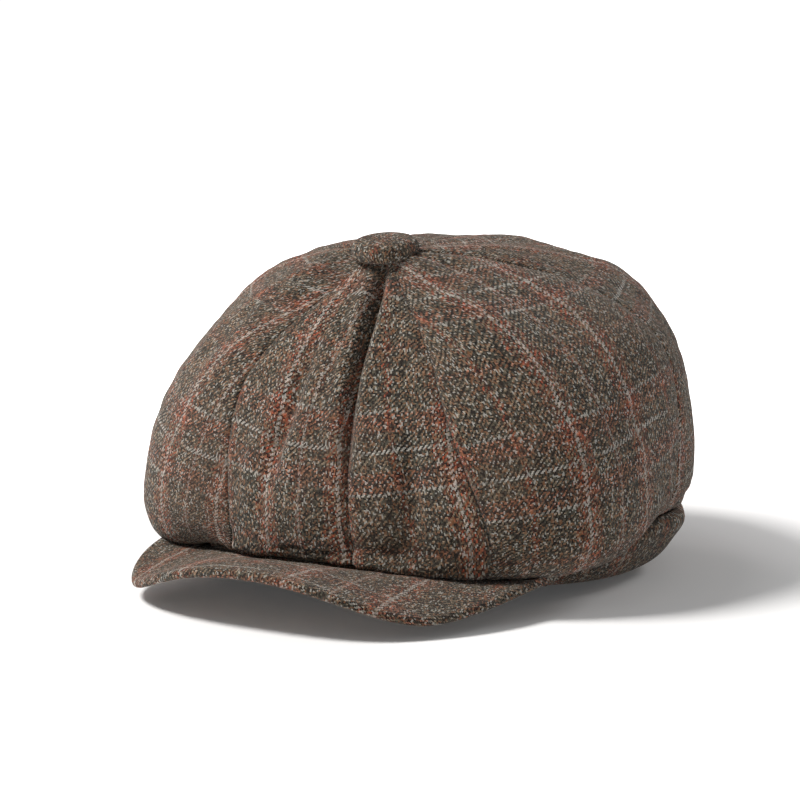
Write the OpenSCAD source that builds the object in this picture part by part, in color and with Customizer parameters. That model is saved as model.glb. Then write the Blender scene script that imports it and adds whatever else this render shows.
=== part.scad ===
// Eight-panel newsboy cap, standing on a table as it is put down after wearing.
// Front is -Y, +Z is up. The table is z = 0 and the cap is centred over the origin.
// Angles run round the head from the front, 0, towards the wearer's left, +X, to the back, 180.

/* [Head opening] */
// Inside measure round the sweatband
head_round = 580; // [570:5:585]
// Length of the opening divided by its width
opening_ratio = 1.03; // [1.01:0.01:1.06]
// Height of the sweatband
sweatband_h = 32; // [28:1:34]
// Lift of the opening's front edge above the table
front_lift = 15; // [13:1:16]

/* [Crown] */
// Height of the crown's top above the table
crown_h = 150; // [146:1:154]
// Distance of the button in front of the middle of the opening
button_forward = 32; // [28:1:36]
// Widest radius of the crown over the visor
front_r = 103; // [102:1:105]
// Widest radius of the crown at the sides
side_r = 127; // [125:1:132]
// Widest radius of the crown at the back
rear_r = 136; // [130:1:138]
// Height of the widest line at the front
front_widest_z = 28; // [27:1:30]
// Height of the widest line at the back
rear_widest_z = 57; // [52:1:60]
// Squareness of the front slope, where 2 is an ellipse
front_square = 1.4; // [1.3:0.1:1.6]
// Squareness of the back, where 2 is an ellipse
rear_square = 3.2; // [2.6:0.1:3.4]
// Angle of the seam beside the centre front
front_seam = 38; // [36:1:44]
// Angle of the seam at the side
side_seam = 104; // [98:1:106]
// Angle of the seam behind the ear
rear_seam = 142; // [138:1:146]

/* [Cloth] */
// Thickness of the wool cloth with its backing
cloth_t = 2.2; // [1.8:0.1:2.6]
// Thickness of the lining
lining_t = 0.8; // [0.6:0.1:1]
// Thickness of the sweatband
sweatband_t = 1.2; // [1:0.1:1.4]
// Thickness of the stiffener inside the band
interlining_t = 1; // [0.8:0.1:1.2]
// Clearance between neighbouring layers
layer_gap = 0.3; // [0.2:0.05:0.4]

/* [Band] */
// Height of the band over the visor
front_band_h = 6; // [6:0.5:8]
// Height of the band at the sides and back
rear_band_h = 28; // [24:1:30]
// How far the band flares out below the full crown
band_flare = 25; // [20:1:27]

/* [Visor] */
// Depth of the visor at the centre front
visor_depth = 50; // [46:1:56]
// Half of the visor's width
visor_half_w = 96; // [94:1:98]
// Angle of the visor's ends round the opening
visor_end = 66; // [62:1:66]
// Height of the visor's edge at the centre front
visor_arch = 22; // [18:1:24]
// Height of the visor's edge where it is lowest, beside the centre
visor_low = 5; // [1:0.5:6]
// How far the visor is sewn on turned towards the wearer's right
visor_turn = 2.5; // [0:0.5:4]
// Squareness of the visor's outline, where 2 is an ellipse
visor_square = 2.5; // [2.2:0.1:3]
// Thickness of the visor's stiff board
board_t = 2; // [1.6:0.1:2.4]
// Thickness of the visor's upper cover
top_cover_t = 1.4; // [1.2:0.1:1.6]
// Thickness of the visor's lower cover
under_cover_t = 1; // [0.8:0.1:1.2]

/* [Button] */
// Diameter of the covered button
button_d = 30; // [26:1:32]
// Thickness of the button at its rim
button_rim_h = 5; // [4:0.5:6]
// Rise of the button's dome above its rim
button_dome_h = 2.5; // [1.5:0.5:3.5]
// Forward lean of the button
button_lean = 8; // [4:1:12]

/* [Hidden] */
$fn = 96;

tweed = "#5b4c45";
satin = "#2b2624";

// Opening: inner half width and half length, from the head's measure
opening_a = head_round / PI / (1 + opening_ratio);
opening_b = opening_a * opening_ratio;
// Layers outside the opening's inner face
interlining_in = sweatband_t + layer_gap;
band_in = interlining_in + interlining_t + layer_gap;
front_overlap = 3;
// Elastic at the back takes the interlining's place
elastic_from = 150;
elastic_h = 12;
// Gap between neighbouring panels, as an angle
seam_gap = 0.05;
// Distance of a panel's tip from the middle of the crown's top
tip_r = 3;
// Share of a panel's length that lies above the widest line
above_share = 0.78;
// Lining stands this far inside the crown's outer face at the sides, and this far below its top
lining_in = 8;
lining_drop = 14;
lining_rise = 3;
// Divisions along and across a crown panel and a lining panel
panel_rows = 20;
panel_cols = 9;
lining_rows = 14;
lining_cols = 6;
band_steps = 96;
band_rows = 7;
visor_cols = 36;
visor_rows = 6;
board_margin = 3;
visor_bow = 2.5;
wing_rise = 7.5;

// Smooth step from 0 at a to 1 at b
function smooth(v, a, b) = let (s = min(1, max(0, (v - a) / (b - a)))) s * s * (3 - 2 * s);
// 1 at the front, 0 at the back
function front_share(phi) = (1 + cos(phi)) / 2;
// Angle away from the front, 0 to 180
function turn(phi) = abs(phi > 180 ? phi - 360 : phi);
function mix(a, b, s) = a + (b - a) * s;
function oval(phi, a, b) = 1 / sqrt(pow(sin(phi) / a, 2) + pow(cos(phi) / b, 2));
function around(phi, r, z) = [r * sin(phi), -r * cos(phi), z];

// Radius of a face that lies out from the opening's inner face
function opening_r(phi, out) = oval(phi, opening_a + out, opening_b + out);
// Lower edge of the cap
function low_z(phi) = front_lift * pow(front_share(phi), 2);
// Line where the crown is sewn to the band
function hem_r(phi) = opening_r(phi, band_in) + mix(front_overlap, band_flare, smooth(turn(phi), 60, 115));
function hem_z(phi) = low_z(phi) + mix(front_band_h, rear_band_h, smooth(turn(phi), 55, 105));
// Widest line of the crown
function rim_r(phi) =
    mix(mix(front_r, side_r, smooth(turn(phi), 22, 66)), rear_r, smooth(turn(phi), 100, 180));
function rim_z(phi) = mix(rear_widest_z, front_widest_z, front_share(phi));
function squareness(phi) = mix(rear_square, front_square, front_share(phi));

// Way up from a rim point to the crown's top: u is 0 at the top and 1 at the rim
function upper(phi, u, r, z, top) =
    let (n = 2 / squareness(phi), rim = around(phi, r, z), apex = [0, -button_forward],
         out = pow(sin(90 * u), n), up = pow(cos(90 * u), n))
    [mix(apex.x, rim.x, out), mix(apex.y, rim.y, out), mix(z, top, up)];
// Way in from a rim point to the sewn edge: v is 0 at the rim and 1 at the edge
function lower(phi, v, r, z, edge_r, edge_z) =
    around(phi, mix(edge_r, r, cos(90 * v)), mix(z, edge_z, sin(90 * v)));
function shell(phi, t, r, z, top, edge_r, edge_z) =
    t < above_share ? upper(phi, t / above_share, r, z, top)
                    : lower(phi, (t - above_share) / (1 - above_share), r, z, edge_r, edge_z);

// Point on the crown, a depth below its outer face
function crown_point(phi, t, depth) =
    shell(phi, t, rim_r(phi) - depth, rim_z(phi), crown_h - depth, hem_r(phi), hem_z(phi) + depth);
// Point on the lining, which is sewn to the sweatband's upper edge
function lining_edge_z(phi) = low_z(phi) + sweatband_h + 1;
function lining_point(phi, t, depth) =
    let (inside = lining_in + depth, edge_z = lining_edge_z(phi) + depth)
    shell(phi, t, rim_r(phi) - inside, max(rim_z(phi), lining_edge_z(phi)) + lining_rise,
          crown_h - lining_drop - depth, opening_r(phi, interlining_in) - layer_gap, edge_z);

// Closed solid between two grids of points with the same rows and columns.
// Each row runs across, and the rows of the outer face are listed before those of the inner face.
module between(outer, inner) {
    rows = len(outer);
    cols = len(outer[0]);
    back = rows * cols;
    points = concat([for (row = outer) each row], [for (row = inner) each row]);
    faces = concat(
        [for (i = [0:rows - 2], j = [0:cols - 2]) let (a = i * cols + j) [a, a + 1, a + cols]],
        [for (i = [0:rows - 2], j = [0:cols - 2]) let (a = i * cols + j) [a + 1, a + cols + 1, a + cols]],
        [for (i = [0:rows - 2], j = [0:cols - 2]) let (a = back + i * cols + j) [a, a + cols, a + 1]],
        [for (i = [0:rows - 2], j = [0:cols - 2]) let (a = back + i * cols + j) [a + 1, a + cols, a + cols + 1]],
        [for (j = [0:cols - 2]) [j, j + back, j + 1]],
        [for (j = [0:cols - 2]) [j + 1, j + back, j + 1 + back]],
        [for (j = [0:cols - 2]) let (a = (rows - 1) * cols + j) [a, a + 1, a + back]],
        [for (j = [0:cols - 2]) let (a = (rows - 1) * cols + j) [a + 1, a + 1 + back, a + back]],
        [for (i = [0:rows - 2]) let (a = i * cols) [a, a + cols, a + back]],
        [for (i = [0:rows - 2]) let (a = i * cols) [a + cols, a + cols + back, a + back]],
        [for (i = [0:rows - 2]) let (a = i * cols + cols - 1) [a, a + back, a + cols]],
        [for (i = [0:rows - 2]) let (a = i * cols + cols - 1) [a + cols, a + back, a + cols + back]]);
    polyhedron(points = points, faces = faces, convexity = 6);
}

// Closed ring through the same section at every step; sections are lists of points
module ring(sections) {
    steps = len(sections);
    n = len(sections[0]);
    faces = [for (i = [0:steps - 1], j = [0:n - 1])
        let (a = i * n, b = ((i + 1) % steps) * n, k = (j + 1) % n) each [[a + j, b + j, a + k], [b + j, b + k, a + k]]];
    polyhedron(points = [for (s = sections) each s], faces = faces, convexity = 6);
}

// Row i of a panel, from the tip beside the button's shank to the sewn edge
function panel_t(phi, i, rows) =
    let (reach = norm([rim_r(phi) * sin(phi), button_forward - rim_r(phi) * cos(phi)]),
         tip = above_share * asin(pow(tip_r / reach, squareness(phi) / 2)) / 90)
    mix(tip, 1, i / rows);

module crown_panel(from, to) {
    grid = function (depth) [for (i = [0:panel_rows]) [for (j = [0:panel_cols])
        let (phi = mix(from + seam_gap, to - seam_gap, j / panel_cols))
            crown_point(phi, panel_t(phi, i, panel_rows), depth)]];
    color(tweed) stand() between(grid(0), grid(cloth_t));
}

module lining_panel(from, to) {
    grid = function (depth) [for (i = [0:lining_rows]) [for (j = [0:lining_cols])
        let (phi = mix(from + seam_gap, to - seam_gap, j / lining_cols))
            lining_point(phi, panel_t(phi, i, lining_rows), depth)]];
    color(satin) stand() between(grid(0), grid(lining_t));
}

// Panel that mirrors another across the middle of the cap
module right_side() {
    mirror([1, 0, 0]) children();
}

// Band below the crown, flaring out to the crown's sewn edge and turned in to the opening
function band_point(phi, v, depth) =
    lower(phi, v, hem_r(phi) - depth, hem_z(phi) - layer_gap, opening_r(phi, band_in), low_z(phi) + depth);
module outer_band() {
    color(tweed) stand() ring([for (i = [0:band_steps - 1]) let (phi = 360 * i / band_steps)
        concat([for (j = [0:band_rows]) band_point(phi, j / band_rows, 0)],
               [for (j = [band_rows:-1:0]) band_point(phi, j / band_rows, cloth_t)])]);
}

// Upright strip round the opening, between two angles
module strip(from, to, out, thick, base, high) {
    steps = ceil((to - from) / 4);
    face = function (face_out) [for (z = [base + high, base]) [for (i = [0:steps])
        let (phi = mix(from, to, i / steps)) around(phi, opening_r(phi, face_out), low_z(phi) + z)]];
    stand() between(face(out + thick), face(out));
}
module sweatband() {
    color("#1f1b1a") stand() ring([for (i = [0:band_steps - 1]) let (phi = 360 * i / band_steps)
        [for (c = [[sweatband_t, sweatband_h], [sweatband_t, 0], [0, 0], [0, sweatband_h]])
            around(phi, opening_r(phi, c.x), low_z(phi) + c.y)]]);
}
module band_interlining() {
    color("ivory") strip(-elastic_from + 2, elastic_from - 2, interlining_in, interlining_t, 1, sweatband_h - 4);
}
module sweatband_elastic() {
    color("white") strip(elastic_from, 360 - elastic_from, interlining_in, interlining_t, 4, elastic_h);
}
module size_tab() {
    tab_half_angle = 7;
    color("silver") strip(180 - tab_half_angle, 180 + tab_half_angle, -layer_gap - 0.5, 0.5, 6, 16);
}

// Visor: s runs from -1 at one end to 1 at the other, w from the sewn edge, 0, to the outer edge, 1
function visor_front() = opening_r(0, band_in) + front_overlap + visor_depth;
function visor_root(s) =
    let (phi = s * visor_end - visor_turn) around(phi, hem_r(phi) + 0.5, low_z(phi));
function visor_edge_z(s) =
    mix(visor_arch, visor_low, smooth(abs(s), 0, 0.55)) + wing_rise * smooth(abs(s), 0.5, 0.98);
function visor_edge(s) =
    let (n = 2 / visor_square, base = (hem_r(visor_end) + 0.5) * cos(visor_end),
         x = sign(s) * visor_half_w * pow(abs(sin(90 * s)), n),
         y = -mix(base, visor_front(), pow(cos(90 * s), n)))
    [x * cos(visor_turn) + y * sin(visor_turn), y * cos(visor_turn) - x * sin(visor_turn), visor_edge_z(s)];
// Point of the visor's underside, raised by lift; margin keeps a layer inside the outer edge
function visor_point(s, w, lift, margin) =
    let (root = visor_root(s), edge = visor_edge(s), width = norm([edge.x - root.x, edge.y - root.y]),
         reach = w * max(0.3, 1 - margin / max(width, 1)))
    [mix(root.x, edge.x, reach), mix(root.y, edge.y, reach),
     mix(root.z, edge.z, reach) + visor_bow * 4 * reach * (1 - reach) * cos(90 * s) + lift];
module visor_layer(lift, thick, margin, end_share) {
    grid = function (height) [for (i = [0:visor_rows]) [for (j = [0:visor_cols])
        visor_point(mix(-end_share, end_share, j / visor_cols), i / visor_rows, height, margin)]];
    stand() between(grid(lift + thick), grid(lift));
}
module visor_under_cover() {
    color(tweed) visor_layer(0, under_cover_t, 0.8, 0.98);
}
module visor_board() {
    color("dimgray") visor_layer(under_cover_t + 0.1, board_t, board_margin, 0.94);
}
module visor_top_cover() {
    color(tweed) visor_layer(under_cover_t + board_t + 0.2, top_cover_t, 0, 0.98);
}

// Button pieces are turned about the crown's top and lean forward with it
module on_top() {
    stand() translate([0, -button_forward, crown_h]) rotate([button_lean, 0, 0]) children();
}
module dome(radius, rim, rise) {
    cap_r = (radius * radius + rise * rise) / (2 * rise);
    rotate_extrude() intersection() {
        translate([0, rim + rise - cap_r]) circle(r = cap_r);
        square([radius, rim + rise]);
    }
}
module button_cover() {
    wall = 1.4;
    color(tweed) on_top() difference() {
        dome(button_d / 2, button_rim_h, button_dome_h);
        translate([0, 0, -1]) dome(button_d / 2 - wall, button_rim_h + 1 - wall, button_dome_h);
    }
}
module button_shell() {
    wall = 0.6;
    inset = 1.6;
    color("gainsboro") on_top() difference() {
        translate([0, 0, 0.8]) dome(button_d / 2 - inset, button_rim_h - 0.8 - inset, button_dome_h);
        dome(button_d / 2 - inset - wall, button_rim_h - inset - wall, button_dome_h);
    }
}
module button_back() {
    color("black") on_top() translate([0, 0, 0.9]) difference() {
        cylinder(r = button_d / 2 - 2.5, h = 0.8);
        translate([0, 0, -1]) cylinder(r = 1.6, h = 3);
    }
}
module button_shank() {
    color("silver") on_top() translate([0, 0, -4]) difference() {
        cylinder(r = 1.5, h = 6.5);
        translate([0, -3, 2]) rotate([-90, 0, 0]) cylinder(r = 0.6, h = 6, $fn = 24);
    }
}
module button_thread() {
    color("saddlebrown") on_top() translate([0, 0, -8.6]) cylinder(r = 1.2, h = 4.4);
}

// Centres the cap over the origin, front to back
rear_reach = max([for (phi = [140:2:180]) -rim_r(phi) * cos(phi)]);
module stand() {
    translate([0, (visor_front() - rear_reach) / 2, 0]) children();
}

crown_panel(0, front_seam);  // crown_front_left
right_side() crown_panel(0, front_seam);  // crown_front_right
crown_panel(front_seam, side_seam);  // crown_side_left
right_side() crown_panel(front_seam, side_seam);  // crown_side_right
crown_panel(side_seam, rear_seam);  // crown_rear_side_left
right_side() crown_panel(side_seam, rear_seam);  // crown_rear_side_right
crown_panel(rear_seam, 180);  // crown_back_left
right_side() crown_panel(rear_seam, 180);  // crown_back_right
outer_band();
band_interlining();
sweatband();
sweatband_elastic();
size_tab();
lining_panel(0, front_seam);  // lining_front_left
right_side() lining_panel(0, front_seam);  // lining_front_right
lining_panel(front_seam, side_seam);  // lining_side_left
right_side() lining_panel(front_seam, side_seam);  // lining_side_right
lining_panel(side_seam, rear_seam);  // lining_rear_side_left
right_side() lining_panel(side_seam, rear_seam);  // lining_rear_side_right
lining_panel(rear_seam, 180);  // lining_back_left
right_side() lining_panel(rear_seam, 180);  // lining_back_right
visor_top_cover();
visor_board();
visor_under_cover();
button_cover();
button_shell();
button_back();
button_shank();
button_thread();
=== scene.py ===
"""Eight-panel tweed newsboy cap: soft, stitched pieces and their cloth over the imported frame.

Angles phi run round the head in degrees from the front, -Y, towards +X; t runs down a crown panel
from the button, 0, to the sewn edge, 1. Lengths in the shape functions are millimetres.
"""
import math

import bpy
import numpy as np
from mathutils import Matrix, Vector


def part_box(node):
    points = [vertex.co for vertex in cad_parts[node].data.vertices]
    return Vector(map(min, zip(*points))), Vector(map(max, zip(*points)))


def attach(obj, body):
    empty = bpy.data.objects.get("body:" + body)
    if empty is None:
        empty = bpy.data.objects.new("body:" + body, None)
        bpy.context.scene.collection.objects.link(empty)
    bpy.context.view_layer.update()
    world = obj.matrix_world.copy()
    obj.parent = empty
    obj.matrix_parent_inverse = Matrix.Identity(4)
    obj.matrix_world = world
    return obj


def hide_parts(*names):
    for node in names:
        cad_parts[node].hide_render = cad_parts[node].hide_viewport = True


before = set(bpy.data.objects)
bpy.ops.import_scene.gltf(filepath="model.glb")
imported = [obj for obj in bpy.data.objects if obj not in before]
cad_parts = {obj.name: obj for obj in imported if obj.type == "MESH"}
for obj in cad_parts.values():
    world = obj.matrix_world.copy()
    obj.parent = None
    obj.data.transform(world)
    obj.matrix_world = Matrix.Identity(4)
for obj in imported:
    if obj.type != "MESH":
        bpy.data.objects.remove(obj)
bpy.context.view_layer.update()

MM = 0.001


# ---------------------------------------------------------------- sizes read from the frame

def node_box(name):
    """Lowest and highest corner of a CAD node in millimetres."""
    low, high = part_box(name)
    return np.array(low) / MM, np.array(high) / MM


# Sizes that no box in the frame gives alone, the same as the CAD's
SWEATBAND_H = 32.0
SWEATBAND_T = 1.2
BAND_IN = 2.8
BOARD_STACK = 4.6
FRONT_OVERLAP = 3.0
BAND_FLARE = 25.0
FRONT_BAND_H = 6.0
REAR_BAND_H = 28.0
ABOVE_SHARE = 0.78

_band_low, _band_high = node_box("sweatband")
_crown_high = node_box("crown_side_left")[1]
_visor_low, _visor_high = node_box("visor_top_cover")
_button_low, _button_high = node_box("button_cover")
_back_high = node_box("crown_back_left")[1]

STAND_Y = (_band_low[1] + _band_high[1]) / 2
OPENING_A = _band_high[0] - SWEATBAND_T
OPENING_B = (_band_high[1] - _band_low[1]) / 2 - SWEATBAND_T
FRONT_LIFT = _band_high[2] - SWEATBAND_H
CROWN_H = _back_high[2] + 0.1
SIDE_R = _crown_high[0]
REAR_R = _back_high[1] - STAND_Y
FRONT_R = SIDE_R - 24
FRONT_WIDEST_Z = 28.0
REAR_WIDEST_Z = 57.0
FRONT_SQUARE = 1.4
REAR_SQUARE = 3.2
BUTTON_FORWARD = STAND_Y - (_button_low[1] + _button_high[1]) / 2
BUTTON_R = (_button_high[0] - _button_low[0]) / 2
BUTTON_LEAN = 8.0
VISOR_HALF_W = (_visor_high[0] - _visor_low[0]) / 2
VISOR_FRONT = STAND_Y - _visor_low[1]
VISOR_END = 66.0
VISOR_ARCH = 22.0
VISOR_LOW = 5.0
VISOR_SQUARE = 2.5
VISOR_BOW = 2.5
WING_RISE = 7.5
VISOR_TURN = 2.5

# Angles of the crown's seams near the button, half way down and at the hem.
# The crown sits turned a little on its band.
SEAMS = {
    "front": (13.5, 6.6, 11),
    "front_side_left": (30, 36, 43.5),
    "side_left": (103, 108, 98.5),
    "rear_left": (147, 145, 143),
    "back": (182, 182, 181),
    "rear_right": (222, 220, 218),
    "side_right": (262, 258, 256),
    "front_side_right": (334, 322.7, 333.5),
}
PANELS = {
    "crown_front_left": ("front", "front_side_left"),
    "crown_side_left": ("front_side_left", "side_left"),
    "crown_rear_side_left": ("side_left", "rear_left"),
    "crown_back_left": ("rear_left", "back"),
    "crown_back_right": ("back", "rear_right"),
    "crown_rear_side_right": ("rear_right", "side_right"),
    "crown_side_right": ("side_right", "front_side_right"),
    "crown_front_right": ("front_side_right", "front"),
}


# ---------------------------------------------------------------- shape of the cap

def smooth(v, a, b):
    """Smooth step from 0 at a to 1 at b."""
    s = np.clip((v - a) / (b - a), 0, 1)
    return s * s * (3 - 2 * s)


def mix(a, b, share):
    return a + (b - a) * share


def bump(v, middle, width):
    """Soft hill of height 1 and the given half width."""
    return np.exp(-((v - middle) / width) ** 2)


def seam_at(name, t):
    """Angle of a seam, which curves on its way down the crown."""
    top, middle, hem = SEAMS[name]
    return top + (middle - top) * smooth(t, 0.12, 0.42) + (hem - middle) * smooth(t, 0.42, 0.82)


def front_share(phi):
    return (1 + np.cos(np.radians(phi))) / 2


def turn(phi):
    """Angle away from the front, 0 to 180."""
    return np.abs((phi + 180) % 360 - 180)


def away(phi, middle):
    """Signed angle from the middle to phi, -180 to 180."""
    return (phi - middle + 180) % 360 - 180


def around(phi, r, z):
    p = np.radians(phi)
    return np.stack(np.broadcast_arrays(r * np.sin(p), STAND_Y - r * np.cos(p), z), -1)


def opening_r(phi, out):
    p = np.radians(phi)
    return 1 / np.sqrt((np.sin(p) / (OPENING_A + out)) ** 2 + (np.cos(p) / (OPENING_B + out)) ** 2)


def low_z(phi):
    return FRONT_LIFT * front_share(phi) ** 2


def hem_r(phi):
    return opening_r(phi, BAND_IN) + mix(FRONT_OVERLAP, BAND_FLARE, smooth(turn(phi), 60, 115))


def hem_z(phi):
    return low_z(phi) + mix(FRONT_BAND_H, REAR_BAND_H, smooth(turn(phi), 55, 105))


def rim_r(phi):
    return mix(mix(FRONT_R, SIDE_R, smooth(turn(phi), 22, 66)), REAR_R, smooth(turn(phi), 100, 180))


def rim_z(phi):
    return mix(REAR_WIDEST_Z, FRONT_WIDEST_Z, front_share(phi))


def lower(phi, v, r, z, edge_r, edge_z):
    """Way in from a rim point, v 0, to a sewn edge, v 1."""
    across = np.cos(np.pi / 2 * v)
    down = np.sin(np.pi / 2 * v)
    return around(phi, mix(edge_r, r, across), mix(z, edge_z, down))


def shell(phi, t, r, z, top, edge_r, edge_z):
    """Point of a domed shell from its top, t 0, over its widest line to its sewn edge, t 1."""
    phi, t = np.broadcast_arrays(np.asarray(phi, float), np.asarray(t, float))
    u = np.clip(t / ABOVE_SHARE, 0, 1)
    power = 2 / mix(REAR_SQUARE, FRONT_SQUARE, front_share(phi))
    out = np.sin(np.pi / 2 * u) ** power
    up = np.clip(np.cos(np.pi / 2 * u), 0, 1) ** power
    rim = around(phi, r, z)
    forward = mix(STAND_Y - BUTTON_FORWARD, rim[..., 1], out)
    above = np.stack([rim[..., 0] * out, forward, mix(z, top, up)], -1)
    v = np.clip((t - ABOVE_SHARE) / (1 - ABOVE_SHARE), 0, 1)
    below = lower(phi, v, r, z, edge_r, edge_z)
    return np.where((t < ABOVE_SHARE)[..., None], above, below)


def crown_base(phi, t):
    return shell(phi, t, rim_r(phi), rim_z(phi), CROWN_H, hem_r(phi), hem_z(phi))


def lining_base(phi, t):
    edge_z = low_z(phi) + SWEATBAND_H + 1
    top_z = np.maximum(rim_z(phi), edge_z) + 3
    return shell(phi, t, rim_r(phi) - 8.4, top_z, CROWN_H - 14.4, opening_r(phi, 1.2), edge_z)


def normals(points):
    """Outward normals of a grid of points whose rows run down and whose columns run round."""
    down = np.gradient(points, axis=0)
    across = np.gradient(points, axis=1)
    n = np.cross(across, down)
    n /= np.maximum(np.linalg.norm(n, axis=-1, keepdims=True), 1e-9)
    middle = np.array([0, STAND_Y, 50.0])
    inward = np.sum(n * (points - middle)) < 0
    return -n if inward else n


def ripples(a, b, seed, count, longest, shortest):
    """Smooth random height between about -1 and 1 over coordinates a and b, in the same unit."""
    rng = np.random.default_rng(seed)
    total = np.zeros(np.broadcast(a, b).shape)
    for _ in range(count):
        heading = rng.uniform(0, 2 * np.pi)
        length = rng.uniform(shortest, longest)
        phase = rng.uniform(0, 2 * np.pi)
        total += np.sin(2 * np.pi * (a * np.cos(heading) + b * np.sin(heading)) / length + phase)
    return total / np.sqrt(count)


# ---------------------------------------------------------------- relief of the sewn crown

def seam_relief(phi, t, reach):
    """Valleys that the crown's seams pull into the cloth, in millimetres along the normal."""
    total = np.zeros(phi.shape)
    for name in SEAMS:
        gap = away(phi, seam_at(name, t)) * np.pi / 180 * reach
        pulled = 0.6 if name == "front_side_right" else 1.3
        total -= pulled * bump(gap, 0, 1.3)
        total -= 0.3 * smooth(t, 0.02, 0.25) * bump(gap, 0, 9)
    return total


def front_gap(phi, t, reach):
    """Distance in millimetres from the centre-front seam."""
    return away(phi, seam_at("front", t)) * np.pi / 180 * reach


def pleat_share(t):
    """How far the centre-front pleat stands open."""
    return smooth(t, 0.1, 0.22) * (1 - smooth(t, 0.4, 0.66))


def front_pleat(phi, t, reach):
    """Deep fold along the centre-front seam, open in its upper half."""
    gap = front_gap(phi, t, reach)
    open_share = pleat_share(t)
    lips = 0.9 * bump(gap, 4.5, 3) + 1.2 * bump(gap, -4.5, 3)
    return -(0.6 + 5.4 * open_share) * bump(gap, 0, 1.9) + open_share * lips


# Broad hollows and swells: angle, share of the way down, half width in degrees, half height and rise
SOFT_DENTS = (
    (-16, 0.5, 3.2, 0.14, -3.4),
    (-10, 0.5, 4, 0.14, 1.6),
    (-23, 0.55, 4, 0.16, 1.2),
    (26.5, 0.62, 2.8, 0.1, -3),
    (20, 0.6, 4, 0.12, 1.4),
    (-56, 0.42, 5, 0.1, -2.4),
    (72, 0.66, 14, 0.1, -1.6),
    (140, 0.4, 28, 0.18, 1.5),
    (-85, 0.42, 30, 0.17, -4.2),
    (52, 0.92, 26, 0.07, 5.4),
    (20, 0.91, 16, 0.06, 2.8),
    (-20, 0.91, 16, 0.07, 2.8),
    (-56, 0.92, 20, 0.07, 4.8),
    (-88, 0.84, 20, 0.1, 3),
    (170, 0.22, 34, 0.1, 2.4),
    (108, 0.8, 32, 0.16, -2.8))


def soft_dents(phi, t):
    """Hollows and swells where the full crown rests on itself and sags over the visor."""
    total = np.zeros(phi.shape)
    for middle, down, width, height, rise in SOFT_DENTS:
        total += rise * bump(away(phi, middle), 0, width) * bump(t, down, height)
    return total


def gathers(phi, t):
    """Small folds running out from under the button and up from the sewn edge."""
    p = np.radians(phi)
    near_top = bump(t, 0.1, 0.09)
    near_hem = smooth(t, 0.86, 0.98)
    top_folds = np.sin(13 * p + 1.2) + 0.6 * np.sin(21 * p + 4)
    hem_folds = np.sin(37 * p) + 0.7 * np.sin(59 * p + 2) * np.sin(5 * p)
    return 0.55 * near_top * top_folds + 0.35 * near_hem * hem_folds


def crown_relief(phi, t, points):
    reach = np.hypot(points[..., 0], points[..., 1] - (STAND_Y - BUTTON_FORWARD))
    arc = away(phi, 0) * np.pi / 180 * 110
    total = seam_relief(phi, t, reach) + front_pleat(phi, t, reach) + soft_dents(phi, t) + gathers(phi, t)
    total += 0.9 * ripples(arc, t * 190, 4, 9, 90, 34) * smooth(t, 0.05, 0.3)
    total += 0.22 * ripples(arc, t * 190, 8, 12, 22, 9) * smooth(t, 0.05, 0.3)
    return total * (1 - 0.85 * smooth(t, 0.97, 1.0)) - 0.9 * smooth(t, 0.05, 0.25)


# ---------------------------------------------------------------- cloth simulation of the crown

SIM_COLUMNS = 180
SIM_ROWS = 44
SIM_TIP = 0.06


def cubic_weights(position, count, wraps):
    """Catmull-Rom weights that read a row of count samples at fractional positions."""
    base = np.floor(position).astype(int)
    f = position - base
    kernel = (-0.5 * f + f ** 2 - 0.5 * f ** 3, 1 - 2.5 * f ** 2 + 1.5 * f ** 3,
              0.5 * f + 2 * f ** 2 - 1.5 * f ** 3, -0.5 * f ** 2 + 0.5 * f ** 3)
    weights = np.zeros((len(position), count))
    for k in range(4):
        at = base + k - 1
        at = at % count if wraps else np.clip(at, 0, count - 1)
        np.add.at(weights, (np.arange(len(position)), at), kernel[k])
    return weights


def settle_crown():
    """Runs the crown as one cloth pinned at its seams, and returns how far each sample moved."""
    phi = np.arange(SIM_COLUMNS) * 360 / SIM_COLUMNS
    t = np.linspace(SIM_TIP, 1, SIM_ROWS)
    grid_phi, grid_t = np.meshgrid(phi, t)
    start = crown_base(grid_phi, grid_t)
    cloth = grid_object("settling", start * MM, None, wrap=True)
    pins = cloth.vertex_groups.new(name="pins")
    for i in range(SIM_ROWS):
        for j in range(SIM_COLUMNS):
            near = min(abs(away(phi[j], seam_at(name, t[i]))) for name in SEAMS)
            held = max(1 - near / 3.0, 0)
            if i in (0, SIM_ROWS - 1):
                held = 1
            pins.add([i * SIM_COLUMNS + j], held, "REPLACE")
    settings = cloth.modifiers.new("cloth", "CLOTH").settings
    settings.vertex_group_mass = "pins"
    settings.quality = 6
    settings.mass = 0.25
    settings.tension_stiffness = 12
    settings.compression_stiffness = 8
    settings.bending_stiffness = 3
    settings.shrink_min = -0.015
    settings.use_pressure = True
    settings.uniform_pressure_force = 1.2
    settings.effector_weights.gravity = 0
    scene = bpy.context.scene
    for step in range(1, 21):
        scene.frame_set(step)
    graph = bpy.context.evaluated_depsgraph_get()
    settled = cloth.evaluated_get(graph).to_mesh()
    found = np.array([v.co for v in settled.vertices]).reshape(start.shape) / MM
    cloth.evaluated_get(graph).to_mesh_clear()
    scene.frame_set(1)
    bpy.data.objects.remove(cloth)
    moved = found - start
    normal = normals(start)
    outward = np.sum(moved * normal, axis=-1, keepdims=True)
    slide = moved - normal * outward
    slide *= np.minimum(1, 2 / np.maximum(np.linalg.norm(slide, axis=-1, keepdims=True), 1e-6))
    return softened(slide + normal * np.clip(outward, -1, 1.1))


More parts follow.
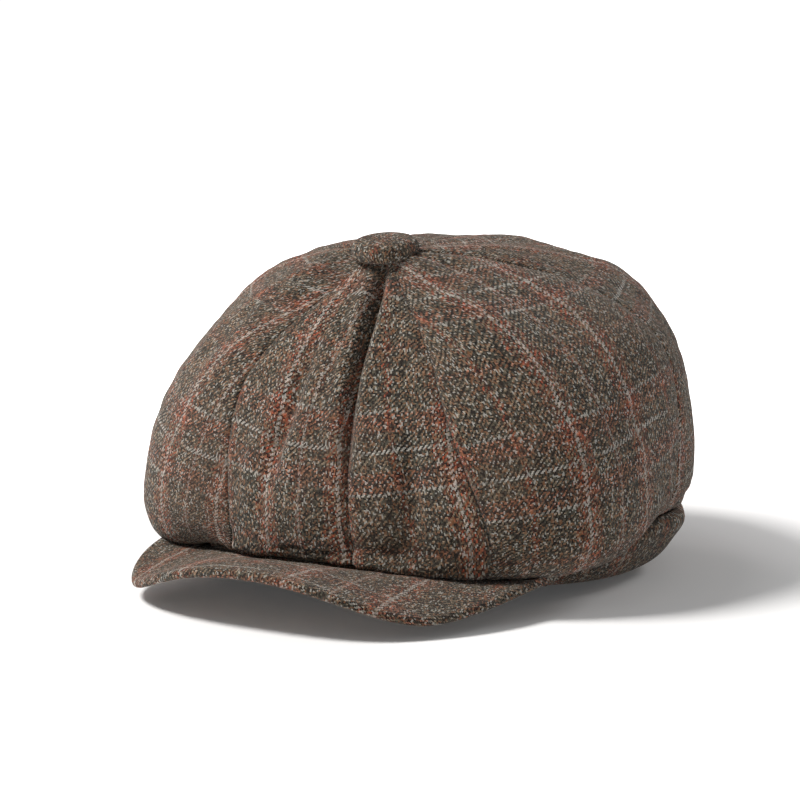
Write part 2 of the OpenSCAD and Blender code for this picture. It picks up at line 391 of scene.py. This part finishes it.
def softened(field):
    """Evens out a field of samples that closes on itself round the crown."""
    for _ in range(3):
        field = 0.5 * field + 0.25 * (np.roll(field, 1, axis=1) + np.roll(field, -1, axis=1))
        field[1:-1] = 0.5 * field[1:-1] + 0.25 * (field[2:] + field[:-2])
    return field


def settled_at(moved, phi, t):
    """Movement of the settled cloth at a grid of angles and a column of heights."""
    share_down = (np.clip(t, SIM_TIP, 1) - SIM_TIP) / (1 - SIM_TIP)
    down = cubic_weights(share_down * (SIM_ROWS - 1), SIM_ROWS, False)
    rows = np.einsum("ri,ijk->rjk", down, moved)
    found = [cubic_weights((row_phi % 360) * SIM_COLUMNS / 360, SIM_COLUMNS, True) @ row
             for row_phi, row in zip(phi, rows)]
    return np.array(found) * smooth(t, 0.03, 0.12)[:, None, None]


# ---------------------------------------------------------------- mesh helpers

def grid_object(name, points, uv, wrap=False, flip=False):
    """Mesh of a grid of points in metres; wrap joins the last column to the first."""
    rows, cols = points.shape[:2]
    last = cols if wrap else cols - 1
    faces = []
    for i in range(rows - 1):
        for j in range(last):
            k = (j + 1) % cols
            quad = (i * cols + j, (i + 1) * cols + j, (i + 1) * cols + k, i * cols + k)
            faces.append(quad[::-1] if flip else quad)
    mesh = bpy.data.meshes.new(name)
    mesh.from_pydata(points.reshape(-1, 3).tolist(), [], faces)
    if uv is not None:
        layer = mesh.uv_layers.new(name="cloth")
        loops = np.array(faces).reshape(-1)
        flat = unwrap_last(faces, uv, cols) if wrap else uv.reshape(-1, 2)[loops]
        layer.data.foreach_set("uv", flat.reshape(-1))
    mesh.polygons.foreach_set("use_smooth", [True] * len(mesh.polygons))
    mesh.update()
    obj = bpy.data.objects.new(name, mesh)
    bpy.context.scene.collection.objects.link(obj)
    return obj


def unwrap_last(faces, uv, cols):
    """UVs of a wrapped grid, where the closing column carries on past the end of the row."""
    flat = uv.reshape(-1, 2)
    step = flat[1, 0] - flat[0, 0]
    found = []
    for face in faces:
        closes = any(v % cols == 0 for v in face) and any(v % cols == cols - 1 for v in face)
        for v in face:
            u = flat[v, 0]
            if closes and v % cols == 0:
                u = flat[v + cols - 1, 0] + step
            found.append((u, flat[v, 1]))
    return np.array(found)


def finish_piece(obj, material, nodes):
    obj.data.materials.append(material)
    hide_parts(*nodes)
    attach(obj, "root")
    return obj


def cloth_uv(points, start_u=0.0, start_v=0.0):
    """Straight-grain UVs in metres: arc length across from the middle column, and down it."""
    across = np.linalg.norm(np.diff(points, axis=1), axis=-1)
    u = np.concatenate([np.zeros((len(points), 1)), np.cumsum(across, axis=1)], axis=1)
    middle = points.shape[1] // 2
    u -= u[:, middle:middle + 1]
    down = np.linalg.norm(np.diff(points[:, middle], axis=0), axis=-1)
    v = np.concatenate([[0], np.cumsum(down)])
    return np.stack([u + start_u * MM, np.broadcast_to(-v[:, None], u.shape) + start_v * MM], -1)


def closed_ring(points):
    """Grid of a ring with its first column repeated at the end."""
    return np.concatenate([points, points[:, :1]], axis=1)


# ---------------------------------------------------------------- shader graphs

def srgb(red, green, blue):
    """Linear colour from 0-255 display values."""
    def linear(c):
        c /= 255
        return c / 12.92 if c <= 0.04045 else ((c + 0.055) / 1.055) ** 2.4
    return (linear(red), linear(green), linear(blue), 1)


class Graph:
    """Adds shader nodes to a new material; its methods return output sockets."""

    def __init__(self, name):
        self.material = bpy.data.materials.new(name)
        self.material.use_nodes = True
        self.tree = self.material.node_tree
        self.shader = self.tree.nodes["Principled BSDF"]

    def put(self, kind, *inputs, **settings):
        node = self.tree.nodes.new(kind)
        for key, value in settings.items():
            setattr(node, key, value)
        for index, value in enumerate(inputs):
            self.feed(node.inputs[index], value)
        return node

    def feed(self, socket, value):
        if isinstance(value, bpy.types.NodeSocket):
            self.tree.links.new(value, socket)
        elif value is not None:
            socket.default_value = value

    def math(self, operation, a, b=None, c=None):
        return self.put("ShaderNodeMath", a, b, c, operation=operation).outputs[0]

    def uv(self, scale):
        """U and V of the cloth map, in the unit given by scale per metre."""
        at = self.put("ShaderNodeUVMap", uv_map="cloth").outputs[0]
        parts = self.put("ShaderNodeSeparateXYZ", at)
        return self.math("MULTIPLY", parts.outputs[0], scale), self.math("MULTIPLY", parts.outputs[1], scale)

    def join(self, x, y, z=0.0):
        return self.put("ShaderNodeCombineXYZ", x, y, z).outputs[0]

    def random(self, x, y, seed):
        """Random number from 0 to 1 for each pair of whole numbers."""
        return self.white_noise(self.join(x, y, seed))

    def white_noise(self, at):
        return self.put("ShaderNodeTexWhiteNoise", at, noise_dimensions="3D").outputs["Value"]

    def noise(self, at, scale, detail=3.0, roughness=0.5):
        node = self.put("ShaderNodeTexNoise")
        self.feed(node.inputs["Vector"], at)
        self.feed(node.inputs["Scale"], scale)
        self.feed(node.inputs["Detail"], detail)
        self.feed(node.inputs["Roughness"], roughness)
        return node.outputs["Fac"]

    def place(self):
        return self.put("ShaderNodeTexCoord").outputs["Object"]

    def blend(self, share, a, b, kind="MIX"):
        node = self.put("ShaderNodeMix", data_type="RGBA", blend_type=kind)
        self.feed(node.inputs["Factor"], share)
        self.feed(node.inputs[6], a)
        self.feed(node.inputs[7], b)
        return node.outputs[2]

    def spread(self, value, low, high, new_low, new_high):
        """Maps low..high to new_low..new_high, clamped."""
        return self.put("ShaderNodeMapRange", value, low, high, new_low, new_high).outputs[0]

    def near(self, value, middle, reach):
        """1 where the value is within reach of the middle, otherwise 0."""
        return self.math("COMPARE", value, middle, reach)

    def surface(self, colour, roughness, height=None, strength=0.5, distance=0.0003, **constants):
        self.feed(self.shader.inputs["Base Color"], colour)
        self.feed(self.shader.inputs["Roughness"], roughness)
        if height is not None:
            relief = self.put("ShaderNodeBump")
            self.feed(relief.inputs["Strength"], strength)
            self.feed(relief.inputs["Distance"], distance)
            self.feed(relief.inputs["Height"], height)
            self.feed(self.shader.inputs["Normal"], relief.outputs[0])
        for name, value in constants.items():
            self.shader.inputs[name.replace("_", " ")].default_value = value
        return self.material


def striped(g, along, base, repeat, smudge, bands):
    """Colours a thread by its place across the cloth: bands are (place, half width, share, colour)."""
    place = g.math("FLOORED_MODULO", along, repeat)
    colour = base
    for middle, half, share, tint in bands:
        amount = g.math("MULTIPLY", g.math("MULTIPLY", g.near(place, middle, half), share), smudge)
        colour = g.blend(amount, colour, tint)
    return colour


def line_share(g, along, repeat, places):
    """Share of the off-white thread at a place across the cloth; places are (middle, half width, share)."""
    place = g.math("FLOORED_MODULO", along, repeat)
    total = 0.0
    for middle, half, share in places:
        total = g.math("ADD", total, g.math("MULTIPLY", g.near(place, middle, half), share))
    return total


def wool_tweed():
    """Charcoal-brown 2/2 twill of mottled floats, with a check of rust bands and off-white threads."""
    g = Graph("wool_tweed")
    thread = 0.6
    repeat = 92.0
    u, v = g.uv(1 / MM)
    wander = g.noise(g.join(u, v), 0.03, 3.0)
    u = g.math("ADD", u, g.spread(wander, 0.3, 0.7, -1.2, 1.2))
    v = g.math("ADD", v, g.spread(wander, 0.3, 0.7, 0.9, -0.9))
    across = g.math("DIVIDE", u, thread)
    down = g.math("DIVIDE", v, thread)
    end = g.math("FLOOR", across)
    pick = g.math("FLOOR", down)
    twill = g.math("SUBTRACT", end, pick)
    rib = g.math("FLOOR", g.math("DIVIDE", twill, 4.0))
    warp_up = g.math("LESS_THAN", g.math("FLOORED_MODULO", twill, 4.0), 1.5)
    weft_up = g.math("SUBTRACT", 1.0, warp_up)

    charcoal = srgb(54, 52, 46)
    taupe = srgb(110, 96, 79)
    rust = srgb(154, 67, 40)
    white = srgb(204, 202, 193)
    soft = g.noise(g.join(u, v), 0.11, 4.0, 0.6)
    smudge = g.spread(soft, 0.36, 0.6, 0.35, 1.0)
    warp_at = g.math("MULTIPLY", end, thread)
    weft_at = g.math("MULTIPLY", pick, thread)
    loose_warp_at = g.math("ADD", warp_at, g.spread(soft, 0.3, 0.7, -1.5, 1.5))
    warp = striped(g, loose_warp_at, charcoal, repeat, smudge, (
        (27, 6.6, 0.5, rust), (27, 3.8, 0.5, rust), (65, 6.6, 0.5, rust), (65, 3.8, 0.5, rust),
        (46, 2.2, 0.4, rust), (1.5, 1.8, 0.6, rust)))
    weft = striped(g, weft_at, taupe, repeat, smudge, (
        (33, 4.6, 0.5, rust), (59, 4.6, 0.5, rust), (1.5, 1.6, 0.4, rust)))
    colour = g.blend(warp_up, weft, warp)

    float_id = g.blend(warp_up, g.join(rib, pick, 17.0), g.join(end, rib, 11.0))
    thread_id = g.blend(warp_up, g.join(0.0, pick, 7.0), g.join(end, 0.0, 3.0))
    per_float = g.white_noise(float_id)
    per_thread = g.white_noise(thread_id)
    per_cell = g.random(end, pick, 11.0)
    fleck = g.random(g.math("ADD", end, g.math("MULTIPLY", per_float, 9.0)), rib, 5.0)
    shade = g.math("MULTIPLY", g.spread(per_float, 0, 1, 0.05, 1.95), g.spread(per_cell, 0, 1, 0.45, 1.55))
    shade = g.math("MULTIPLY", shade, g.spread(per_thread, 0, 1, 0.8, 1.2))
    colour = g.blend(1.0, colour, g.join(shade, shade, shade), "MULTIPLY")
    colour = g.blend(g.math("MULTIPLY", g.math("GREATER_THAN", fleck, 0.92), 0.6), colour, white)
    colour = g.blend(g.math("MULTIPLY", g.math("LESS_THAN", fleck, 0.24), 0.85), colour, srgb(26, 25, 24))
    colour = g.blend(g.math("MULTIPLY", g.near(fleck, 0.5, 0.06), 0.5), colour, srgb(160, 108, 74))
    colour = g.blend(g.math("MULTIPLY", g.near(fleck, 0.75, 0.06), 0.5), colour, srgb(88, 92, 80))
    warp_line = line_share(g, warp_at, repeat, ((27, 0.95, 0.85), (65, 0.95, 0.85), (46, 0.65, 0.5)))
    weft_line = line_share(g, weft_at, repeat, ((28, 0.65, 0.65), (46, 0.95, 0.85), (64, 0.65, 0.6)))
    faded = g.noise(g.join(u, v, 40.0), 0.045, 3.0, 0.6)
    warp_line = g.math("MULTIPLY", warp_line, g.spread(faded, 0.4, 0.55, 0.65, 1.0))
    weft_line = g.math("MULTIPLY", weft_line, g.spread(faded, 0.4, 0.56, 0.1, 1.0))
    line = g.math("ADD", g.math("MULTIPLY", warp_line, warp_up), g.math("MULTIPLY", weft_line, weft_up))
    colour = g.blend(g.math("MULTIPLY", line, g.spread(per_float, 0, 1, 0.5, 1.0)), colour, white)
    patch = g.noise(g.place(), 22.0, 4.0, 0.6)
    colour = g.blend(g.spread(patch, 0.4, 0.7, 0.0, 0.16), colour, srgb(112, 88, 72))

    across_profile = g.math("SINE", g.math("MULTIPLY", g.math("FRACT", across), math.pi))
    down_profile = g.math("SINE", g.math("MULTIPLY", g.math("FRACT", down), math.pi))
    float_height = g.blend(warp_up, down_profile, across_profile)
    hair = g.noise(g.join(u, v), 2.4, 4.0, 0.7)
    height = g.math("ADD", g.math("MULTIPLY", float_height, 0.7), g.math("MULTIPLY", hair, 0.7))
    height = g.math("ADD", height, g.math("MULTIPLY", per_float, 0.6))
    roughness = g.spread(hair, 0.3, 0.7, 0.84, 0.98)
    return g.surface(colour, roughness, height, 0.8, 0.0004, Sheen_Weight=0.12, Sheen_Roughness=0.5,
                     Specular_IOR_Level=0.15)


def satin_lining():
    """Smooth dark satin with fine weft and faint long creases, with painted shade and sheen along the
    creases.
    """
    g = Graph("satin_lining")
    u, v = g.uv(1 / MM)
    column = g.math("FLOOR", g.math("MULTIPLY", u, 4.0))
    row = g.math("FLOOR", g.math("MULTIPLY", v, 1.2))
    cells = g.random(column, row, 5.0)
    wave = g.noise(g.join(g.math("MULTIPLY", u, 2.5), v), 0.06, 3.0)
    colour = g.blend(g.spread(cells, 0, 1, 0.0, 0.35), srgb(58, 46, 43), srgb(84, 68, 62))
    # Painted shade and sheen: the colour darkens by up to 0.3 where the long creases' wave is high.
    colour = g.blend(g.spread(wave, 0.35, 0.65, 0.0, 0.3), colour, srgb(36, 29, 28))
    height = g.math("ADD", g.math("MULTIPLY", cells, 0.4), g.math("MULTIPLY", wave, 4.0))
    return g.surface(colour, g.spread(cells, 0, 1, 0.3, 0.42), height, 0.35, 0.0002,
                     Anisotropic=0.6, Sheen_Weight=0.15)


def ribbed(name, dark, light, pitch, roughness, along_v=False):
    """Ribbed tape whose ribs repeat at the pitch in millimetres, with painted shade in the grooves between
    the ribs.
    """
    g = Graph(name)
    u, v = g.uv(1 / MM)
    position = g.math("DIVIDE", v if along_v else u, pitch)
    rib = g.math("SINE", g.math("MULTIPLY", g.math("FRACT", position), math.pi))
    yarn_at = g.math("DIVIDE", u if along_v else v, pitch * 0.8)
    yarn = g.random(g.math("FLOOR", position), g.math("FLOOR", yarn_at), 2.0)
    wear = g.noise(g.place(), 40.0, 5.0, 0.6)
    # Painted shade: each rib's colour runs from dark in its groove to light on its crest, following its
    # height.
    colour = g.blend(rib, dark, light)
    colour = g.blend(g.spread(yarn, 0, 1, 0.0, 0.4), colour, dark)
    colour = g.blend(g.spread(wear, 0.45, 0.75, 0.0, 0.25), colour, light)
    height = g.math("ADD", rib, g.math("MULTIPLY", yarn, 0.4))
    rough = g.spread(wear, 0.3, 0.7, roughness - 0.08, roughness + 0.08)
    return g.surface(colour, rough, height, 0.6, 0.00025, Sheen_Weight=0.2)


def worn(name, dark, light, roughness, metallic=0.0, scale=90.0):
    """Hard part with soft variation and fine scratches."""
    g = Graph(name)
    patch = g.noise(g.place(), scale, 4.0, 0.6)
    grain = g.noise(g.place(), scale * 18, 3.0, 0.7)
    colour = g.blend(g.spread(patch, 0.35, 0.65, 0.0, 1.0), dark, light)
    height = g.math("ADD", patch, g.math("MULTIPLY", grain, 0.5))
    rough = g.spread(grain, 0.3, 0.7, roughness - 0.1, roughness + 0.1)
    return g.surface(colour, rough, height, 0.3, 0.0001, Metallic=metallic)


TWEED = wool_tweed()
SATIN = satin_lining()
SWEAT = ribbed("cotton_sweatband", srgb(26, 22, 22), srgb(52, 45, 43), 0.9, 0.72)
CANVAS = ribbed("stiff_canvas", srgb(176, 166, 146), srgb(214, 205, 186), 0.7, 0.85)
ELASTIC = ribbed("elastic_webbing", srgb(190, 187, 180), srgb(232, 229, 222), 1.1, 0.7, along_v=True)
TAB = ribbed("woven_tab", srgb(150, 142, 130), srgb(196, 188, 174), 0.4, 0.6)
BOARD = worn("moulded_board", srgb(38, 38, 40), srgb(56, 56, 58), 0.55)
METAL = worn("button_metal", srgb(150, 148, 144), srgb(196, 194, 190), 0.35, 1.0)
PLASTIC = worn("button_plastic", srgb(22, 21, 21), srgb(40, 38, 38), 0.45)
THREAD = worn("sewing_thread", srgb(92, 66, 48), srgb(130, 98, 74), 0.8, scale=600.0)


# ---------------------------------------------------------------- crown

PANEL_ROWS = 130
PANEL_COLUMNS = 61
TURNED_IN = (0.9, 2.2, 3.8)
MOVED = settle_crown()


def panel_grid(start, end, columns, t):
    """Angles of a panel's grid between its two curved seams."""
    from_phi = seam_at(start, t)[:, None]
    width = (seam_at(end, t)[:, None] - from_phi) % 360
    return from_phi + width * np.linspace(0.001, 0.999, columns)[None]


def crown_grid(phi, t):
    """Finished crown surface, with its relief and settled cloth, and its normals."""
    grid_t = np.broadcast_to(t[:, None], phi.shape)
    base = crown_base(phi, grid_t)
    normal = normals(base)
    relief = crown_relief(phi, grid_t, base)
    return base + normal * relief[..., None] + settled_at(MOVED, phi, t), normal


def turned_in(points, normal):
    """Adds the seam allowance on both sides of a panel and along its sewn edge."""
    left = [points[:, :1] - normal[:, :1] * d for d in reversed(TURNED_IN)]
    right = [points[:, -1:] - normal[:, -1:] * d for d in TURNED_IN]
    wide = np.concatenate([*left, points, *right], axis=1)
    inward = normalised(np.array([0, STAND_Y, 0]) - wide[-1] * np.array([1, 1, 0]))
    under = [wide[-1:] + inward[None] * d + np.array([0, 0, 0.35 * d]) for d in TURNED_IN]
    return np.concatenate([wide, *under], axis=0)


def normalised(v):
    return v / np.maximum(np.linalg.norm(v, axis=-1, keepdims=True), 1e-9)


def crown_panel(node, start, end, grain):
    t = np.linspace(0.018, 1, PANEL_ROWS)
    phi = panel_grid(start, end, PANEL_COLUMNS, t)
    points, normal = crown_grid(phi, t)
    pattern = turned_in(crown_base(phi, t[:, None]), normal) * MM
    points = turned_in(points, normal) * MM
    uv = cloth_uv(points, *grain)
    obj = grid_object(node.replace("crown", "tweed"), points, uv)
    finish_piece(obj, TWEED, [node])
    cloth_uv(pattern)


# Where each panel was cut from the checked cloth, across and along its stripes
GRAIN = {
    "crown_front_left": (3, 150),
    "crown_side_left": (44, 191),
    "crown_rear_side_left": (20, 150),
    "crown_back_left": (50, 170),
    "crown_back_right": (24, 170),
    "crown_rear_side_right": (64, 150),
    "crown_side_right": (-8, 188),
    "crown_front_right": (35, 150),
}
for node, (start, end) in PANELS.items():
    crown_panel(node, start, end, GRAIN[node])


# ---------------------------------------------------------------- band, sweatband and lining

RING_STEPS = 360


def ring_phi():
    return np.arange(RING_STEPS) * 360 / RING_STEPS


def ring_uv(points):
    """UVs of a ring or strip: the way round its middle row, and arc length down."""
    middle = points[len(points) // 2]
    step = np.linalg.norm(np.diff(middle, axis=0), axis=-1).mean()
    u = np.arange(points.shape[1]) * step
    down = np.linalg.norm(np.diff(points, axis=0), axis=-1).mean(axis=1)
    v = -np.concatenate([[0], np.cumsum(down)])
    return np.stack(np.meshgrid(u, v), -1)


def outer_band():
    """Band below the crown: a bulged strip, tucked under the crown above and turned in below."""
    phi = ring_phi()
    v = np.concatenate([[-0.12, -0.05], np.linspace(0, 1, 22)])
    grid_phi, grid_v = np.meshgrid(phi, v)
    points = lower(grid_phi, np.clip(grid_v, 0, 1), hem_r(grid_phi), hem_z(grid_phi) - 0.3,
                   opening_r(grid_phi, BAND_IN), low_z(grid_phi))
    tuck = np.clip(-grid_v, 0, 1) * 12
    points += around(grid_phi, -tuck, 0) - around(grid_phi, 0, 0)
    smooth_points = points.copy()
    bulge = 0.9 * np.sin(np.pi * np.clip(grid_v, 0, 1))
    bulge += 0.35 * ripples(grid_phi, grid_v * 12, 21, 8, 40, 11)
    bulge += 3.4 * bump(grid_v, 0.11, 0.16) * smooth(turn(grid_phi), 60, 105)
    points += (around(grid_phi, bulge, 0) - around(grid_phi, 0, 0)) * smooth(grid_v, 0, 0.03)[..., None]
    under = [points[-1:] + around(phi, -d, 0)[None] - around(phi, 0, 0)[None] + np.array([0, 0, lift])
             for d, lift in ((0.9, 0.2), (1.6, 1.2), (1.8, 6), (1.8, 12))]
    points = np.concatenate([points, *under], axis=0)
    points[..., 2] = np.maximum(points[..., 2], 0.05)
    points *= MM
    uv = ring_uv(points)
    obj = grid_object("tweed_band", points, uv, wrap=True)
    finish_piece(obj, TWEED, ["outer_band"])


def wall_strip(name, node, phi, out, heights, waviness, seed, material):
    """Upright strip round the opening with soft unevenness; heights run down it."""
    grid_phi, grid_h = np.meshgrid(phi, heights)
    wave = waviness * ripples(grid_phi, grid_h, seed, 8, 60, 14)
    top_roll = 0.4 * smooth(grid_h, heights.max() - 2.5, heights.max())
    points = around(grid_phi, opening_r(grid_phi, out + wave - top_roll), low_z(grid_phi) + grid_h) * MM
    closed = abs((phi[-1] - phi[0]) % 360 - (phi[0] - phi[1]) % 360) < 1e-6
    obj = grid_object(name, points, ring_uv(points), wrap=closed)
    finish_piece(obj, material, [node])
    pattern = around(grid_phi, opening_r(grid_phi, out), low_z(grid_phi) + grid_h) * MM
    if closed:
        pattern = closed_ring(pattern)


def inner_band():
    tall = np.linspace(SWEATBAND_H, 0.4, 22)
    wall_strip("cotton_sweatband", "sweatband", ring_phi(), 0.6, tall, 0.18, 31, SWEAT)
    front = np.linspace(-148, 148, 280)
    wall_strip("canvas_interlining", "band_interlining", front, 2.0, np.linspace(SWEATBAND_H - 3, 1.2, 14),
               0.08, 32, CANVAS)
    rear = np.linspace(150, 210, 80)
    wall_strip("elastic_strip", "sweatband_elastic", rear, 2.0, np.linspace(16, 4, 10), 0.08, 33, ELASTIC)
    label = np.linspace(173, 187, 30)
    wall_strip("blank_tab", "size_tab", label, -0.5, np.linspace(22, 6, 14), 0.1, 34, TAB)


def lining_panel(node, start, end, seed):
    """Satin gore that hangs a little loose inside the crown."""
    columns = 31
    t = np.linspace(0.018, 1, 60)
    grid_phi = panel_grid(start, end, columns, t)
    grid_t = np.broadcast_to(t[:, None], grid_phi.shape)
    base = lining_base(grid_phi, grid_t)
    normal = normals(base)
    across = np.sin(np.pi * np.linspace(0, 1, columns))[None]
    reach = np.hypot(base[..., 0], base[..., 1] - (STAND_Y - BUTTON_FORWARD))
    loose = -1.6 * across + 0.9 * across * ripples(grid_phi, grid_t * 120, seed, 8, 60, 16)
    loose -= 9 * smooth(grid_t, 0.04, 0.2) * (1 - smooth(grid_t, 0.6, 0.85)) * bump(
        front_gap(grid_phi, grid_t, reach), 0, 16)
    loose *= 1 - smooth(grid_t, 0.93, 1)
    points = (base + normal * (loose - 0.2)[..., None]) * MM
    uv = cloth_uv(points)
    obj = grid_object(node.replace("lining", "satin"), points, uv)
    finish_piece(obj, SATIN, [node])
    cloth_uv(base * MM)


outer_band()
inner_band()
for number, (node, (start, end)) in enumerate(PANELS.items()):
    lining_panel(node.replace("crown", "lining"), start, end, 50 + number)


# ---------------------------------------------------------------- visor

def visor_root(s):
    """Line where the visor is sewn on, turned a little towards the wearer's right."""
    phi = s * VISOR_END - VISOR_TURN
    return around(phi, hem_r(phi) + 0.5, low_z(phi))


def visor_edge(s):
    power = 2 / VISOR_SQUARE
    base = (hem_r(VISOR_END) + 0.5) * math.cos(math.radians(VISOR_END))
    c = np.clip(np.cos(np.pi / 2 * s), 0, 1)
    x = np.sign(s) * VISOR_HALF_W * np.abs(np.sin(np.pi / 2 * s)) ** power
    y = -mix(base, VISOR_FRONT, c ** power)
    z = mix(VISOR_ARCH, VISOR_LOW, smooth(np.abs(s), 0, 0.55)) + WING_RISE * smooth(np.abs(s), 0.5, 0.98)
    turned = math.radians(VISOR_TURN)
    turned_x = x * math.cos(turned) + y * math.sin(turned)
    turned_y = y * math.cos(turned) - x * math.sin(turned)
    return np.stack([turned_x, turned_y + STAND_Y, z], -1)


def visor_point(s, w, lift):
    """Visor surface: w runs from the sewn edge, 0, to the outer edge, 1."""
    root = visor_root(s)
    edge = visor_edge(s)
    points = root + (edge - root) * w[..., None]
    points[..., 2] += VISOR_BOW * 4 * w * (1 - w) * np.cos(np.pi / 2 * s) + lift
    return points


def visor_cover(name, node, lift, roll, seed, flip):
    """Cover of the visor with its outer edge rolled round the board by roll millimetres."""
    s = np.linspace(-0.985, 0.985, 181)
    w = np.linspace(-0.06, 1, 56)
    edge_row = len(w) - 1
    grid_s, grid_w = np.meshgrid(s, w)
    points = visor_point(grid_s, grid_w, lift)
    smooth_points = points.copy()
    points[..., 2] += 0.25 * ripples(points[..., 0], points[..., 1], seed, 10, 60, 14) * (1 - grid_w ** 6)
    rows = [points]
    steps = np.linspace(0, np.pi, 10)[1:]
    outward = normalised((points[-1] - points[-8]) * np.array([1, 1, 0]))
    for angle in steps:
        out = abs(roll) * math.sin(angle)
        drop = roll * (1 - math.cos(angle))
        rows.append((points[-1] + outward * out - np.array([0, 0, drop]))[None])
    points = np.concatenate(rows, axis=0)
    points[..., 2] = np.maximum(points[..., 2], 0.1)
    plan = points[..., :2].copy()
    depth = np.cumsum(np.linalg.norm(np.diff(points, axis=0, prepend=points[:1]), axis=-1), axis=0)
    past = np.maximum(depth - depth[edge_row], 0)
    rolled = slice(edge_row + 1, None)
    plan[rolled] = plan[edge_row] + outward[None, :, :2] * past[rolled, :, None]
    uv = plan * MM
    uv[..., 0] += 0.012
    obj = grid_object(name, points * MM, uv, flip=flip)
    finish_piece(obj, TWEED, [node])


visor_cover("tweed_visor_top", "visor_top_cover", BOARD_STACK - 0.1, 2.2, 61, False)
visor_cover("tweed_visor_under", "visor_under_cover", 0.3, -0.5, 62, True)


# ---------------------------------------------------------------- button

def button_cover():
    """Covered button: a soft dome, its cloth gathered in under the rim."""
    lean = math.radians(BUTTON_LEAN)
    profile = [(0.0, 7.4), (0.2, 7.35), (0.4, 7.2), (0.58, 7.0), (0.73, 6.6), (0.85, 6.0), (0.93, 5.1),
               (0.98, 3.9), (1.0, 2.6), (1.0, 1.2), (0.99, -0.2), (0.96, -1.4), (0.88, -2.1), (0.7, -2.2)]
    angle = np.arange(120) * 2 * np.pi / 120
    share = np.array([p[0] for p in profile])[:, None]
    height = np.array([p[1] for p in profile])[:, None]
    puckers = smooth(share, 0.6, 1.0) * (0.16 * np.sin(17 * angle) + 0.12 * np.sin(29 * angle + 1))[None]
    under = (np.arange(len(profile)) > 8)[:, None] * 0.35 * np.sin(26 * angle)[None]
    r = share * BUTTON_R + puckers
    x = r * np.sin(angle)
    y = -r * np.cos(angle)
    z = height + under * 0.5
    apex_y = STAND_Y - BUTTON_FORWARD
    tilted_y = y * math.cos(lean) - z * math.sin(lean)
    tilted_z = y * math.sin(lean) + z * math.cos(lean)
    points = np.stack([x, tilted_y + apex_y, tilted_z + CROWN_H - 0.9], -1) * MM
    step_out = np.diff(share[:, 0] * BUTTON_R, prepend=0)
    step_down = np.diff(height[:, 0], prepend=profile[0][1])
    arc = np.cumsum(np.hypot(step_out, step_down))
    uv = np.stack([arc[:, None] * np.sin(angle), arc[:, None] * np.cos(angle)], -1) * MM
    obj = grid_object("tweed_button", points, None, wrap=True)
    layer = obj.data.uv_layers.new(name="cloth")
    flat = uv.reshape(-1, 2)
    loops = [flat[v] for p in obj.data.polygons for v in p.vertices]
    layer.data.foreach_set("uv", np.array(loops).reshape(-1))
    finish_piece(obj, TWEED, ["button_cover"])


button_cover()


# ---------------------------------------------------------------- hard parts stay as the frame gives them

def dress(node, material):
    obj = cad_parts[node]
    obj.data.materials.clear()
    obj.data.materials.append(material)


dress("visor_board", BOARD)
dress("button_shell", METAL)
dress("button_shank", METAL)
dress("button_back", PLASTIC)
dress("button_thread", THREAD)


# ---------------------------------------------------------------- floor, light and camera

def floor():
    """White floor that glows a little far from the cap, so that it runs into a white background."""
    g = Graph("white_floor")
    at = g.place()
    tone = g.noise(at, 3.0, 2.0)
    colour = g.blend(g.spread(tone, 0.3, 0.7, 0.0, 1.0), (0.9, 0.9, 0.9, 1), (0.92, 0.92, 0.92, 1))
    away_from_cap = g.put("ShaderNodeVectorMath", at, operation="LENGTH").outputs["Value"]
    g.surface(colour, 0.9, Emission_Color=(1, 1, 1, 1))
    # Painted light: the glow rises from 0.15 m to 0.5 m out from the cap, so it also lightens the cap's cast
    # shadow on the floor there.
    g.feed(g.shader.inputs["Emission Strength"], g.spread(away_from_cap, 0.15, 0.5, 0.05, 0.85))
    reach = 30.0
    points = np.array([[[-reach, reach, 0], [reach, reach, 0]], [[-reach, -reach, 0], [reach, -reach, 0]]])
    obj = grid_object("floor", points, None)
    obj.data.materials.append(g.material)


def lamp(name, at, size, power, colour):
    data = bpy.data.lights.new(name, "AREA")
    data.shape = "DISK"
    data.size = size
    data.energy = power
    data.color = colour
    obj = bpy.data.objects.new(name, data)
    bpy.context.scene.collection.objects.link(obj)
    obj.location = at
    obj.rotation_euler = (Vector((0, 0, 0.08)) - Vector(at)).to_track_quat("-Z", "Y").to_euler()


def light_and_camera():
    scene = bpy.context.scene
    scene.view_settings.view_transform = "Standard"
    world = bpy.data.worlds.new("studio")
    world.use_nodes = True
    world.node_tree.nodes["Background"].inputs[0].default_value = (1, 1, 1, 1)
    world.node_tree.nodes["Background"].inputs[1].default_value = 0.22
    scene.world = world
    lamp("key", (-0.95, -0.55, 1.6), 0.6, 41, (1.0, 0.98, 0.96))
    lamp("rim", (-1.2, 0.7, 0.6), 0.5, 3, (1.0, 0.93, 0.93))
    lamp("back", (0.9, 1.2, 1.1), 0.6, 6, (1.0, 1.0, 1.0))

    azimuth = math.radians(27.7)
    elevation = math.radians(12.7)
    distance = 1.5
    target = Vector((0, 0, 0.0783))
    direction = Vector((math.sin(azimuth) * math.cos(elevation), -math.cos(azimuth) * math.cos(elevation),
                        math.sin(elevation)))
    data = bpy.data.cameras.new("camera")
    data.sensor_width = 36
    data.lens = 146
    data.shift_x = -0.015
    camera = bpy.data.objects.new("camera", data)
    scene.collection.objects.link(camera)
    camera.location = direction * distance
    camera.rotation_euler = (target - camera.location).to_track_quat("-Z", "Y").to_euler()
    scene.camera = camera


floor()
light_and_camera()
